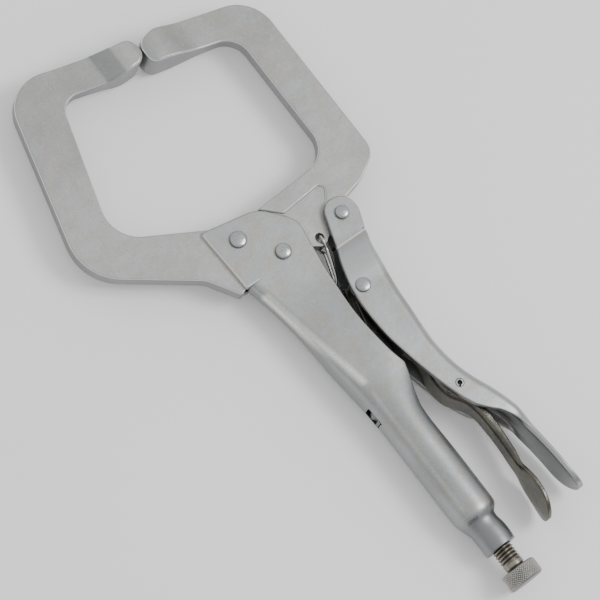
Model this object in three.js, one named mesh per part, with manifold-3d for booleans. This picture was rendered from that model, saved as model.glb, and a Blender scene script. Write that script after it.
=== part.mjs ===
// Locking C-clamp pliers, closed and lying on one side. Millimetres, +Z up.
// While the pieces are built, the main pivot stands at the origin, +X runs along the adjusting
// screw towards its knob and +Y points to the lever side. The finished group is then moved so
// that its origin is the middle of the bottom of its bounding box.
import * as THREE from 'three';
import { mergeVertices } from 'three/addons/utils/BufferGeometryUtils.js';
import Module from 'manifold-3d';

// ---- Driving dimensions ----
const BAR_HALF = 3.5; // half the thickness of the forged jaws
const TIP_HALF = 8.5; // half the thickness of their swollen tips
const TANG_HALF = 2.8; // half the thickness of the tangs between the handle's cheeks
const CHEEK_INNER = 3.1; // from the middle plane to the inside of the handle's cheeks
const SHEET = 2.4; // sheet metal of the fixed handle
const LEVER_SHEET = 2.3; // sheet metal of the lever
const RELEASE_SHEET = 1.8; // sheet metal of the release lever
const GRIP_RADIUS = 9.5; // round lower half of the fixed handle
const FERRULE_RADIUS = 6.9; // its neck, where the screw goes in
const SCREW_RADIUS = 4.35;
const KNOB_RADIUS = 7.8;
const RUN_GAP = 0.3; // between pieces that move on each other
const SEAT_GAP = 0.12; // between pieces that are fastened together
const BORE_GAP = 0.25; // round a pin in its hole
const JAW_RIVET_SHANK = 2.4; // radii of the rivets' shanks
const MAIN_RIVET_SHANK = 2.3;
const LEVER_RIVET_SHANK = 2.1;
const LINK_RIVET_SHANK = 2.3;
const RELEASE_PIN_RADIUS = 1.7;
const SPRING_HOLE_RADIUS = 1.8;
const PAST_ALL = 20; // a cutter this far out passes every piece

// ---- Pivots, seen from +Z ----
const MAIN_PIVOT = [0, 0];
const JAW_RIVET = [-14.1, -12];
const LEVER_PIVOT = [0.5, 29.5];
const LINK_PIVOT = [29.7, 16.6];
const RELEASE_PIVOT = [83.5, 23.6];
const SPRING_HOLE = [3.1, 16.8];
const LINK_END = [93.5, -0.84];
const SCREW_Y = -1.6; // the screw's axis
const SCREW_TIP_X = 100;
const COLLAR_X = 152.4;
const KNOB_X = 155;
const KNOB_LENGTH = 7;
const FERRULE_END_X = 145;
const LEVER_BOSS_HALF = 6.1; // outside of the lever's cheeks at their pivot
const LEVER_HALF = 9.5; // outside of its cheeks further on
const JAW_LUG_RADIUS = 6.6;
const HUB_RADIUS = 9.2;

// ---- Joining and cutting ----
const wasm = await Module();
wasm.setup();

/** A boolean solid from a closed three.js geometry. */
function solid(geometry) {
  const bare = geometry.clone();
  bare.deleteAttribute('normal');
  bare.deleteAttribute('uv');
  const merged = mergeVertices(bare.index ? bare.toNonIndexed() : bare, 1e-5);
  return new wasm.Manifold(new wasm.Mesh({
    numProp: 3,
    vertProperties: new Float32Array(merged.attributes.position.array),
    triVerts: new Uint32Array(merged.index.array),
  }));
}

/** A three.js geometry from a boolean solid. */
function geometryOf(body) {
  const mesh = body.getMesh();
  const geometry = new THREE.BufferGeometry();
  geometry.setAttribute('position', new THREE.BufferAttribute(new Float32Array(mesh.vertProperties), 3));
  geometry.setIndex(new THREE.BufferAttribute(new Uint32Array(mesh.triVerts), 1));
  geometry.computeVertexNormals();
  return geometry;
}

// ---- Outlines and bodies ----

/** A closed outline through corners [x, y, radius], each rounded with a true arc. */
function outline(corners) {
  const shape = new THREE.Shape();
  const points = corners.map(([x, y]) => new THREE.Vector2(x, y));
  corners.forEach(([, , radius = 0], i) => {
    const corner = points[i];
    const before = points.at(i - 1).clone().sub(corner).normalize();
    const after = points[(i + 1) % points.length].clone().sub(corner).normalize();
    const half = Math.acos(before.dot(after)) / 2;
    const reach = radius / Math.tan(half);
    const from = corner.clone().addScaledVector(before, reach);
    if (i === 0) shape.moveTo(from.x, from.y);
    else shape.lineTo(from.x, from.y);
    if (radius > 0) {
      const inward = before.clone().add(after).normalize();
      const middle = corner.clone().addScaledVector(inward, radius / Math.sin(half));
      const to = corner.clone().addScaledVector(after, reach);
      const start = Math.atan2(from.y - middle.y, from.x - middle.x);
      const end = Math.atan2(to.y - middle.y, to.x - middle.x);
      shape.absarc(middle.x, middle.y, radius, start, end, before.cross(after) > 0);
    }
  });
  shape.closePath();
  return shape;
}

/** A plate with this outline between two heights. */
function plate(shape, low, high, curveSegments = 6) {
  const settings = { depth: high - low, bevelEnabled: false, curveSegments };
  return new THREE.ExtrudeGeometry(shape, settings).translate(0, 0, low);
}

/** The same plate on both sides of the middle plane, as one boolean solid. */
function pairOfPlates(shape, inner, outer) {
  return solid(plate(shape, inner, outer)).add(solid(plate(shape, -outer, -inner)));
}

/** A round post along Z. */
function post([x, y], radius, low, high, sides = 24) {
  const geometry = new THREE.CylinderGeometry(radius, radius, high - low, sides);
  return geometry.rotateX(Math.PI / 2).translate(x, y, (low + high) / 2);
}

/** The cutter for a pin's hole, right through. */
function bore(at, radius, gap = BORE_GAP) {
  return solid(post(at, radius + gap, -PAST_ALL, PAST_ALL));
}

/** A smooth function through knots [x, value]. */
function through(knots) {
  const slope = (i) => {
    const [a, b] = [knots[Math.max(i - 1, 0)], knots[Math.min(i + 1, knots.length - 1)]];
    return (b[1] - a[1]) / (b[0] - a[0]);
  };
  return (x) => {
    if (x <= knots[0][0]) return knots[0][1];
    if (x >= knots.at(-1)[0]) return knots.at(-1)[1];
    const i = knots.findIndex(([knot]) => knot > x) - 1;
    const span = knots[i + 1][0] - knots[i][0];
    const t = (x - knots[i][0]) / span;
    const ease = t * t * (3 - 2 * t);
    const bend = t * (1 - t) ** 2 * slope(i) - t * t * (1 - t) * slope(i + 1);
    return knots[i][1] * (1 - ease) + knots[i + 1][1] * ease + span * bend;
  };
}

/** Numbers from first to last in steps of about the given size. */
function stations(first, last, step) {
  const count = Math.ceil((last - first) / step);
  return Array.from({ length: count + 1 }, (_, i) => first + ((last - first) * i) / count);
}

/** A closed body through rings of equally many points [y, z] at places x, capped flat at both ends. */
function loft(places, ringAt) {
  const rings = places.map(ringAt);
  const count = rings[0].length;
  const positions = rings.flatMap((ring, r) => ring.flatMap((p) => [places[r], p.x, p.y]));
  const index = [];
  for (let r = 0; r + 1 < rings.length; r++) {
    for (let i = 0; i < count; i++) {
      const a = r * count + i;
      const b = r * count + ((i + 1) % count);
      index.push(a, b, b + count, a, b + count, a + count);
    }
  }
  const last = (rings.length - 1) * count;
  const capOf = (ring) => THREE.ShapeUtils.triangulateShape(ring, []);
  capOf(rings[0]).forEach(([a, b, c]) => index.push(a, c, b));
  capOf(rings.at(-1)).forEach(([a, b, c]) => index.push(last + a, last + b, last + c));
  const geometry = new THREE.BufferGeometry();
  geometry.setAttribute('position', new THREE.Float32BufferAttribute(positions, 3));
  geometry.setIndex(index);
  return geometry;
}

/** The outside of a folded channel in its (y, z) section, from one edge of its mouth round to the other. */
function channelPath(mouth, back, half, corner) {
  const side = Math.sign(back - mouth);
  const start = (-side * Math.PI) / 2;
  const centre = back - side * corner;
  const flat = half - corner;
  const path = new THREE.Path();
  path.moveTo(mouth, -side * half);
  path.lineTo(centre, -side * half);
  path.absarc(centre, -side * flat, corner, start, start + Math.PI / 2, false);
  path.absarc(centre, side * flat, corner, start + Math.PI / 2, start + Math.PI, false);
  path.lineTo(mouth, side * half);
  return path;
}

/** The ring of a sheet whose outside is this row of points, thickness to its left. */
function sheetRing(outside, thickness) {
  const inside = outside.map((point, i) => {
    const ahead = outside[Math.min(i + 1, outside.length - 1)];
    const behind = outside[Math.max(i - 1, 0)];
    const along = ahead.clone().sub(behind).normalize();
    return new THREE.Vector2(point.x - along.y * thickness, point.y + along.x * thickness);
  });
  return [...outside, ...inside.reverse()];
}

/** The ring of a crowned plate: it bulges to one side of Y (+1 or -1), its edges fall back by the crown. */
function crownedRing(back, half, crown, side, thickness) {
  const outside = Array.from({ length: 13 }, (_, i) => {
    const across = side * (i / 6 - 1);
    return new THREE.Vector2(back - side * crown * across ** 2, half * across);
  });
  return sheetRing(outside, thickness);
}

/** Points of two paths of one section, mixed. */
function mixed(pathA, pathB, share, count) {
  const [a, b] = [pathA.getSpacedPoints(count), pathB.getSpacedPoints(count)];
  return a.map((point, i) => point.clone().lerp(b[i], share));
}

/** A lathe turned about Z at a pivot, from a profile of [radius, z]. */
function turned([x, y], profile, segments = 20) {
  const points = profile.map(([radius, z]) => new THREE.Vector2(radius, z));
  return new THREE.LatheGeometry(points, segments).rotateX(Math.PI / 2).translate(x, y, 0);
}

/** A named piece with its own material. */
function piece(name, geometry, color, roughness, metalness) {
  const mesh = new THREE.Mesh(geometry, new THREE.MeshStandardMaterial({ color, roughness, metalness }));
  mesh.name = name;
  return mesh;
}

const plated = (name, geometry) => piece(name, geometry, 0xb2b6b8, 0.4, 0.9);
const riveted = (name, geometry) => piece(name, geometry, 0xbcc2c6, 0.3, 0.95);
const darkSteel = (name, geometry) => piece(name, geometry, 0x7d7768, 0.5, 0.85);

// ---- Jaws ----

const FIXED_TIP_Y = 3.8; // where the closed tips meet
const MOVABLE_TIP_Y = FIXED_TIP_Y + RUN_GAP;

/** Half the thickness of a jaw's arm as a bar seen from the side, swelling towards its tip. */
function swellingProfile(tipY, direction, farY) {
  const swell = [
    [0, 6.6], [1.2, 8], [3.5, TIP_HALF], [8.5, TIP_HALF], [12, 7.4], [16, 5.3], [20, 4.1], [26, BAR_HALF],
  ];
  const upper = swell.map(([s, half]) => [tipY + direction * s, half]);
  const corners = [...upper, [farY, BAR_HALF]];
  const mirrored = corners.map(([y, half]) => [y, -half]).reverse();
  return new THREE.Shape([...corners, ...mirrored].map(([y, z]) => new THREE.Vector2(y, z)));
}

/** A forged jaw: a flat bar with this outline whose tip swells as the side profile says. */
function forgedJaw(shape, profile) {
  const fromX = -125;
  const toX = -70;
  const tip = new THREE.ExtrudeGeometry(profile, { depth: toX - fromX, bevelEnabled: false });
  // The profile is drawn as (y, z) and runs along +X.
  tip.applyMatrix4(new THREE.Matrix4().set(0, 0, 1, fromX, 1, 0, 0, 0, 0, 1, 0, 0, 0, 0, 0, 1));
  const swollen = solid(plate(shape, -TIP_HALF - 1, TIP_HALF + 1)).intersect(solid(tip));
  return swollen.add(solid(plate(shape, -BAR_HALF, BAR_HALF)));
}

/** Takes the faces of a tang down to its own thickness over an outline. */
function thinnedTang(body, shape) {
  return body.subtract(pairOfPlates(shape, TANG_HALF, TIP_HALF));
}

function fixedJaw() {
  // From the tip down its outer side, along the back, round the tang and up the inner side.
  const shape = outline([
    [-95.2, FIXED_TIP_Y, 5], [-107.1, FIXED_TIP_Y, 5], [-108.6, -10, 20], [-118.9, -50.3, 16],
    [-36.5, -72.2, 22], [-8.2, -32.2, 14], [4.8, -23.8, 1.4], [2.6, -19, 3], [-6.6, -14, 3],
    [-11.2, -5, 4], [-18.4, -7, 5], [-42.9, -52.4, 15], [-101.1, -34.4, 8], [-94.5, -8, 22],
  ]);
  const tang = outline([[-26, -24], [8, -24], [8, 4], [-21.2, 4]]);
  const body = thinnedTang(forgedJaw(shape, swellingProfile(FIXED_TIP_Y, -1, -80)), tang);
  return geometryOf(body.subtract(bore(JAW_RIVET, JAW_RIVET_SHANK)));
}

function movableJaw() {
  // From the tip up its inner side, down to the hub, round the web and lug and back along the outside.
  const shape = outline([
    [-102, MOVABLE_TIP_Y, 4], [-91.6, MOVABLE_TIP_Y, 5], [-83.2, 40.9, 10], [-22.6, 41.2, 11],
    [-20.5, 6, 20], [-8.6, -3.6, 0], [HUB_RADIUS, -3.6, 0], [HUB_RADIUS, 1, 0], [4, 11.2, 1.2],
    [7.3, 16.4, 2.6], [4.6, 21.4, 3], [0.5, 24, 0], [-4.3, 36.2, 0], [-6.6, 46.2, 14],
    [-13.4, 57.6, 9], [-93, 57, 17], [-104.2, 11.5, 8],
  ]);
  const belowHub = outline([[-30, -20], [20, -20], [20, 0], [-12, 0], [-13.2, 4.4], [-30, 8]]);
  const web = outline([
    [-21, 1], [-13.4, 11.4], [-14.6, 33, 2], [-4.3, 25.4, 3], [2.2, 23.2, 3], [12, 23.2],
    [12, -12], [-21, -12],
  ]);
  const body = forgedJaw(shape, swellingProfile(MOVABLE_TIP_Y, 1, 80))
    .subtract(solid(plate(belowHub, -PAST_ALL, PAST_ALL)))
    .add(solid(post(MAIN_PIVOT, HUB_RADIUS, -BAR_HALF, BAR_HALF, 40)))
    .add(solid(post(LEVER_PIVOT, JAW_LUG_RADIUS, -BAR_HALF, BAR_HALF, 36)));
  const holes = bore(MAIN_PIVOT, MAIN_RIVET_SHANK)
    .add(bore(LEVER_PIVOT, LEVER_RIVET_SHANK))
    .add(bore(SPRING_HOLE, SPRING_HOLE_RADIUS, 0));
  return geometryOf(thinnedTang(body, web).subtract(holes));
}

// ---- Fixed handle ----

// Along the handle: the Y of its back, half its width, and its share of roundness from fold to tube.
const handleBack = through([
  [4, -19.3], [18, -16.2], [34, -14.1], [50, -13.1], [63, -12.2], [72, -11.4], [86, -11.1],
]);
const handleHalf = through([[4, 5.5], [15, 5.5], [22, 5.8], [40, 7.3], [60, 8.6], [86, GRIP_RADIUS]]);
const handleRoundness = through([[40, 0], [52, 0.12], [66, 0.5], [80, 0.93], [88, 1]]);
const gripRadius = through([
  [124, GRIP_RADIUS], [128, 9.2], [130.5, 8.2], [133, 7.2], [136, FERRULE_RADIUS], [145, FERRULE_RADIUS],
]);
// Half the angle that the tube leaves open along its top.
const seamAngle = through([[86, 0.62], [96, 0.5], [108, 0.3], [124, 0.26], [132, 0.2], [138, 0.12]]);
const ferruleSheet = FERRULE_RADIUS - SCREW_RADIUS - RUN_GAP;
const sheetOfHandle = through([[126, SHEET], [136, ferruleSheet], [FERRULE_END_X, ferruleSheet]]);
const HANDLE_TOP = 16; // the Y that the flanks are folded to, before their edge is trimmed
const SLOT_START_X = 70.3; // the slot that the spring's tab is pressed out of
const SLOT_END_X = 78.3;
const SLOT_HALF = 3;
const TAB_THICKNESS = 2;

/** The handle's section: a folded channel that turns into a round tube with a seam along its top. */
function handleRing(x) {
  const corner = Math.min(5, handleHalf(x) - 2.2);
  const folded = channelPath(HANDLE_TOP, handleBack(x), handleHalf(x), corner);
  const tube = new THREE.Path();
  tube.absarc(SCREW_Y, 0, gripRadius(x), seamAngle(x), 2 * Math.PI - seamAngle(x), false);
  return sheetRing(mixed(folded, tube, handleRoundness(x), 18), sheetOfHandle(x));
}

function fixedHandle() {
  const places = [
    ...stations(4, 64, 7.5), ...stations(68, 92, 4), ...stations(100, 124, 12),
    ...stations(127, FERRULE_END_X, 3),
  ];
  const cheeks = outline([
    [-24.9, -22.9, 1.5], [4.2, -21.3, 0.8], [4.2, -15, 0], [14, -12, 0], [14, HANDLE_TOP, 0],
    [10, HANDLE_TOP, 0], [10, 10.4, 0], [-7.4, 13.7, 10], [-20.3, 2.3, 14],
  ]);
  const above = outline([
    [2, 11.9], [10, 10.4], [22, 9.2, 30], [37, 7.9, 40], [57, 9.0, 25], [68.6, 13.7, 3], [71, 13.7, 1.2],
    [76.5, 9.2, 6], [87, 6.2, 0], [87, 30], [2, 30],
  ]);
  // The spring's tab is pressed inwards out of the back, and leaves a slot.
  const slot = new THREE.BoxGeometry(SLOT_END_X - SLOT_START_X, 6, 2 * SLOT_HALF)
    .translate((SLOT_START_X + SLOT_END_X) / 2, handleBack(SLOT_START_X), 0);
  const tab = new THREE.BoxGeometry(TAB_THICKNESS, 6, 2 * SLOT_HALF - 0.6)
    .translate(SLOT_END_X - TAB_THICKNESS / 2 + 0.2, handleBack(SLOT_END_X) + 4, 0);
  const body = solid(loft(places, handleRing))
    .add(pairOfPlates(cheeks, CHEEK_INNER, CHEEK_INNER + SHEET))
    .subtract(solid(plate(above, -PAST_ALL, PAST_ALL)))
    .subtract(solid(slot))
    .add(solid(tab))
    .subtract(bore(JAW_RIVET, JAW_RIVET_SHANK))
    .subtract(bore(MAIN_PIVOT, MAIN_RIVET_SHANK));
  return geometryOf(body);
}

// ---- Lever handle ----

// Along the lever: the Y of its back, half its width, the Y of its open mouth, and its fold's radius.
const leverBack = through([
  [9, 34.2], [12, 33.7], [17, 32], [26, 30.2], [37, 28.6], [47, 27.9], [63, 26.9], [75, 28.1], [84, 30.8],
  [93, 34.7], [103, 37.9], [114, 39.8], [124, 40.4], [137, 40.9], [144.4, 41.2],
]);
const leverHalf = through([
  [11, LEVER_BOSS_HALF], [13, 7], [16.5, 9], [20, LEVER_HALF], [96, LEVER_HALF], [112, 8.8], [130, 8.6],
]);
const leverMouth = through([
  [88, 8], [98, 26.5], [104, 32.2], [110, 35.2], [118, 37.4], [130, 38.6], [146, 39.2],
]);
const leverCorner = through([[12, 2.8], [20, 4], [96, 4], [108, 3.4], [116, 2.2]]);
const TAIL_START_X = 131; // where the tail's plan begins to round off
const TAIL_END_X = 144.2;

/** The lever's section: a channel open towards the handle. */
function leverRing(x) {
  const corner = Math.min(leverCorner(x), (leverBack(x) - leverMouth(x)) * 0.8);
  const outside = channelPath(leverMouth(x), leverBack(x), leverHalf(x), corner);
  return sheetRing(outside.getSpacedPoints(16), LEVER_SHEET);
}

/** The tail's section: a plate crowned across its width, rounding off in plan at its end. */
function tailRing(x) {
  const past = Math.max(0, (x - TAIL_START_X) / (TAIL_END_X - TAIL_START_X));
  const plan = Math.sqrt(Math.max(0.04, 1 - past ** 2));
  const crown = (leverBack(x) - leverMouth(x)) * plan ** 2;
  return crownedRing(leverBack(x), leverHalf(x) * plan, crown, 1, LEVER_SHEET);
}

function leverHandle() {
  const places = [...stations(9, 21, 2), ...stations(26, 86, 7.5), ...stations(89, 108, 3)];
  const tailPlaces = [...stations(106, 130, 4), ...stations(132.5, TAIL_END_X, 1.5)];
  const boss = outline([[-6.5, 36.5, 7], [-6.5, 24.6, 6], [10.5, 18.9, 0], [10.5, 34.2, 0], [3, 36.5, 3]]);
  const below = outline([
    [8.5, 5], [8.5, 19.6], [14, 17.6, 30], [27, 11.4, 26], [52, 11, 40], [86, 19.6, 40], [97, 24.6, 14],
    [104, 33, 12], [113, 36.2], [113, 5],
  ]);
  const body = solid(loft(places, leverRing))
    .add(solid(loft(tailPlaces, tailRing)))
    .add(pairOfPlates(boss, LEVER_BOSS_HALF - LEVER_SHEET, LEVER_BOSS_HALF))
    .subtract(solid(plate(below, -PAST_ALL, PAST_ALL)))
    .subtract(bore(LEVER_PIVOT, LEVER_RIVET_SHANK))
    .subtract(bore(LINK_PIVOT, LINK_RIVET_SHANK))
    .subtract(bore(RELEASE_PIVOT, RELEASE_PIN_RADIUS, SEAT_GAP));
  return geometryOf(body);
}

// ---- Toggle link ----

/** The link: a long bar with a wide hub between the lever's cheeks and a rounded end at the screw. */
function toggleLink() {
  const along = new THREE.Vector2(LINK_END[0] - LINK_PIVOT[0], LINK_END[1] - LINK_PIVOT[1]);
  const length = along.length();
  const hubRadius = 4.9;
  const endRadius = 2.7;
  const shape = outline([
    [-3.6, -3.9, 3.4], [9, -3.6, 20], [length + endRadius, -endRadius, endRadius * 0.98],
    [length + endRadius, endRadius, endRadius * 0.98], [9, 3.6, 20], [-3.6, 3.9, 3.4],
  ]);
  const barHalf = 3;
  const hubHalf = LEVER_HALF - LEVER_SHEET - RUN_GAP;
  const bar = plate(shape, -barHalf, barHalf).rotateZ(along.angle()).translate(...LINK_PIVOT, 0);
  const body = solid(bar)
    .add(solid(post(LINK_PIVOT, hubRadius, -hubHalf, hubHalf, 32)))
    .subtract(bore(LINK_PIVOT, LINK_RIVET_SHANK));
  return geometryOf(body);
}

// ---- Release lever ----

// Along the release lever: the Y of its back, the Y of its open mouth, and half its width.
const releaseBack = through([
  [60, 15.6], [65, 17.8], [70, 18.2], [75, 16.7], [81, 16.6], [86, 18.0], [91, 21.4], [96, 23.4],
  [103, 24.0], [112, 24.0], [122, 23.3], [132, 22.9], [140, 22.0], [146.6, 20.6],
]);
const releaseMouth = through([
  [60, 18.4], [66, 21.2], [72, 23.4], [80, 25.4], [88, 26.4], [96, 27.4], [106, 27.6], [116, 26.8],
  [126, 25.6],
]);
const releaseHalf = through([
  [60, 4], [65, 4.6], [70, 6.8], [89, 6.8], [96, 5.1], [118, 5], [124, 5.8], [131, 8.6], [135, 9],
]);
const PADDLE_X = 124; // where the channel ends and the flat paddle begins
const PADDLE_ROUND_X = 136; // where its plan begins to round off
const PADDLE_END_X = 147;

/** The release lever's section: a shallow channel open towards the lever. */
function releaseRing(x) {
  const outside = channelPath(releaseMouth(x), releaseBack(x), releaseHalf(x), 1.9);
  return sheetRing(outside.getSpacedPoints(12), RELEASE_SHEET);
}

/** Its paddle's section: a slightly hollow plate, rounding off in plan at its end. */
function paddleRing(x) {
  const past = Math.max(0, (x - PADDLE_ROUND_X) / (PADDLE_END_X - PADDLE_ROUND_X));
  const plan = Math.sqrt(Math.max(0.04, 1 - past ** 2));
  return crownedRing(releaseBack(x), releaseHalf(x) * plan, 0.7 * plan ** 2, -1, RELEASE_SHEET);
}

function releaseLever() {
  const channelPlaces = [...stations(60, 100, 4), ...stations(104, PADDLE_X + 2, 5)];
  const paddlePlaces = [...stations(PADDLE_X, PADDLE_ROUND_X, 3), ...stations(137.5, PADDLE_END_X, 1.3)];
  const body = solid(loft(channelPlaces, releaseRing))
    .add(solid(loft(paddlePlaces, paddleRing)))
    .subtract(bore(RELEASE_PIVOT, RELEASE_PIN_RADIUS));
  return geometryOf(body);
}

// ---- Pins and rivets ----

/** A rivet: a shank with a low domed head of this radius and height over each cheek. */
function rivet(at, shank, head, cheek, height) {
  const seat = cheek + SEAT_GAP;
  const dome = [
    [shank, seat], [head, seat], [head, seat + height * 0.45], [head * 0.86, seat + height * 0.82],
    [head * 0.55, seat + height], [0, seat + height],
  ];
  const under = dome.map(([radius, z]) => [radius, -z]).reverse();
  return turned(at, [...under, ...dome]);
}

/** The split spring pin of the release lever. */
function releasePin() {
  const boreRadius = 0.95;
  const half = LEVER_HALF - 0.1;
  const shape = new THREE.Shape();
  shape.absarc(0, 0, RELEASE_PIN_RADIUS, 0.35, 2 * Math.PI - 0.35, false);
  shape.absarc(0, 0, boreRadius, 2 * Math.PI - 0.5, 0.5, true);
  return plate(shape, -half, half, 14).rotateZ(-0.6).translate(...RELEASE_PIVOT, 0);
}

// ---- Screw and knob ----

/** A body turned about the screw's axis, from a profile of [radius, x]. */
function turnedAboutScrew(profile, segments) {
  const points = profile.map(([radius, x]) => new THREE.Vector2(radius, x));
  return new THREE.LatheGeometry(points, segments).rotateZ(-Math.PI / 2).translate(0, SCREW_Y, 0);
}

function adjustingScrew() {
  const neck = SCREW_RADIUS - 0.25;
  return turnedAboutScrew([
    [0, SCREW_TIP_X], [2.2, SCREW_TIP_X], [3.2, SCREW_TIP_X + 1], [SCREW_RADIUS, SCREW_TIP_X + 2.4],
    [SCREW_RADIUS, COLLAR_X - 0.6], [neck, COLLAR_X], [neck, KNOB_X - SEAT_GAP], [0, KNOB_X - SEAT_GAP],
  ], 32);
}

function screwKnob() {
  const end = KNOB_X + KNOB_LENGTH;
  return turnedAboutScrew([
    [0, KNOB_X], [KNOB_RADIUS - 0.7, KNOB_X], [KNOB_RADIUS, KNOB_X + 0.7], [KNOB_RADIUS, end - 0.9],
    [KNOB_RADIUS - 0.9, end], [0, end],
  ], 40);
}

// ---- Spring ----

/** The tension spring's wire: a hook through the jaw, a slim neck, the coils, and a hook at the tab. */
function jawSpring() {
  const wire = 0.62;
  const start = new THREE.Vector3(...SPRING_HOLE, 0);
  const end = new THREE.Vector3(SLOT_END_X - TAB_THICKNESS - 1.5, handleBack(SLOT_END_X) + 3.8, 0);
  const axis = end.clone().sub(start).normalize();
  const across = new THREE.Vector3(-axis.y, axis.x, 0);
  const up = new THREE.Vector3(0, 0, 1);
  const place = (s, y, z) => start.clone()
    .addScaledVector(axis, s)
    .addScaledVector(across, y)
    .addScaledVector(up, z);
  const [first, last] = [20.5, 71.5]; // along the axis, where the coils begin and end
  const coilRadius = through([[first, 0.75], [first + 3, 2.45], [last - 3, 2.45], [last, 1.2]]);
  const pitch = 1.48;
  const stepsPerTurn = 8;
  const steps = Math.round(((last - first) / pitch) * stepsPerTurn);
  // The wire's end lies beside the neck, goes under the jaw, up through its hole and back over it.
  const points = [
    place(18.5, -0.5, 0), place(12, -0.5, 0), place(7.4, -0.5, -0.6), place(5.6, -0.4, -2.6),
    place(3, 0, -3.9), place(0.4, 0, -3.9), place(-0.6, 0, -2.2), place(-0.6, 0, 2.2),
    place(0.4, 0, 3.9), place(3, 0, 3.9), place(5.6, 0.6, 2.6), place(7.4, 0.9, 0.6),
    place(12, 0.9, 0), place(18.5, 0.9, 0),
  ];
  for (let i = 0; i <= steps; i++) {
    const turn = (i / stepsPerTurn) * 2 * Math.PI;
    const s = first + ((last - first) * i) / steps;
    points.push(place(s, coilRadius(s) * Math.sin(turn), coilRadius(s) * Math.cos(turn)));
  }
  points.push(place(last + 2, 0.6, 0.6), place(last + 3.4, 1.2, 0));
  const path = new THREE.CatmullRomCurve3(points, false, 'centripetal');
  const section = new THREE.Shape();
  section.absarc(0, 0, wire, 0, 2 * Math.PI, false);
  const settings = { steps: steps + 60, extrudePath: path, curveSegments: 2, bevelEnabled: false };
  return new THREE.ExtrudeGeometry(section, settings);
}

// ---- The assembled pliers ----

const cheek = CHEEK_INNER + SHEET;
const pieces = [
  plated('fixed_handle', fixedHandle()),
  plated('fixed_jaw', fixedJaw()),
  plated('movable_jaw', movableJaw()),
  plated('lever_handle', leverHandle()),
  darkSteel('toggle_link', toggleLink()),
  darkSteel('release_lever', releaseLever()),
  riveted('fixed_jaw_rivet', rivet(JAW_RIVET, JAW_RIVET_SHANK, 3.55, cheek, 1.7)),
  riveted('main_pivot_rivet', rivet(MAIN_PIVOT, MAIN_RIVET_SHANK, 3.35, cheek, 1.9)),
  riveted('lever_pivot_rivet', rivet(LEVER_PIVOT, LEVER_RIVET_SHANK, 2.95, LEVER_BOSS_HALF, 1.6)),
  riveted('link_pivot_rivet', rivet(LINK_PIVOT, LINK_RIVET_SHANK, 3.1, LEVER_HALF, 1.4)),
  riveted('release_pin', releasePin()),
  darkSteel('adjusting_screw', adjustingScrew()),
  piece('screw_knob', screwKnob(), 0x8f8d84, 0.45, 0.9),
  piece('jaw_spring', jawSpring(), 0x9b9c98, 0.35, 0.95),
];

const pliers = new THREE.Group();
pliers.add(...pieces);
const bounds = new THREE.Box3().setFromObject(pliers);
pieces.forEach((mesh) => mesh.position.set(
  -(bounds.min.x + bounds.max.x) / 2,
  -(bounds.min.y + bounds.max.y) / 2,
  -bounds.min.z,
));

export default pliers;
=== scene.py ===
"""Locking C-clamp pliers: the detailed steel pieces, their finishes, and the studio scene.

Lengths in the making functions are millimetres from the main pivot, with +X along the adjusting
screw, +Y towards the lever and +Z up, as in the CAD model. build() turns them into the row frame.
"""

import math

import bmesh
import bpy
import numpy as np
from mathutils import Matrix, Vector
from mathutils.geometry import tessellate_polygon


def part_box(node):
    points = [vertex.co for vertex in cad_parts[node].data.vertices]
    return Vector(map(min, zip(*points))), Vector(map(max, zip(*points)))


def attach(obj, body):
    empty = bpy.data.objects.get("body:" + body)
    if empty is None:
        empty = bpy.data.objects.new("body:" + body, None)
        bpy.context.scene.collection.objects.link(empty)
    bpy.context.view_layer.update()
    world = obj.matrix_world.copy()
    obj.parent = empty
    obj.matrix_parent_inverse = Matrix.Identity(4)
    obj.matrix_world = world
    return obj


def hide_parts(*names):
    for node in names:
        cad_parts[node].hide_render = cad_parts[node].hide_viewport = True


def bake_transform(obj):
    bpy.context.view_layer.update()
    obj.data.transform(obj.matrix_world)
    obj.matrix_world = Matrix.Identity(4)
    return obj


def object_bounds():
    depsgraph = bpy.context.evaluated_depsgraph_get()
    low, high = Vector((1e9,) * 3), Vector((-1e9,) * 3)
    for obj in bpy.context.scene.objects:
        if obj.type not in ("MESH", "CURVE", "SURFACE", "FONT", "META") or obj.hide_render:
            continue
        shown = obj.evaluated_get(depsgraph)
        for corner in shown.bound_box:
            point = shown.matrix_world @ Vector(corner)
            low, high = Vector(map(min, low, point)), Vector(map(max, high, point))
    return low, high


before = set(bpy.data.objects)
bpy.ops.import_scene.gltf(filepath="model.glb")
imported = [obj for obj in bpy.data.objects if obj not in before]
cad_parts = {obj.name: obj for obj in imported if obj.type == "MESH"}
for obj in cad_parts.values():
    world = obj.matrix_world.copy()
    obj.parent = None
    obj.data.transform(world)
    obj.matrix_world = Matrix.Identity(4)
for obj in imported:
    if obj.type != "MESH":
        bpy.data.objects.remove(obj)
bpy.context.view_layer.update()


def box_centre(node):
    """The centre of a CAD node's box in the row frame."""
    low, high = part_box(node)
    return (Vector(low) + Vector(high)) / 2


# The main pivot rivet stands on the pivot, half of it on each side of the middle plane.
PIVOT = box_centre("main_pivot_rivet")


def from_pivot(point):
    """A point of the row frame in millimetres from the main pivot."""
    return (Vector(point) - PIVOT) * 1000


MAIN = (0.0, 0.0)
JAW_RIVET = tuple(from_pivot(box_centre("fixed_jaw_rivet")))[:2]
LEVER_PIVOT = tuple(from_pivot(box_centre("lever_pivot_rivet")))[:2]
LINK_PIVOT = tuple(from_pivot(box_centre("link_pivot_rivet")))[:2]
RELEASE_PIVOT = tuple(from_pivot(box_centre("release_pin")))[:2]
SCREW_Y = from_pivot(box_centre("adjusting_screw")).y
SCREW_TIP_X = from_pivot(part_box("adjusting_screw")[0]).x
KNOB_X = from_pivot(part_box("screw_knob")[0]).x
KNOB_END_X = from_pivot(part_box("screw_knob")[1]).x

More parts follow.
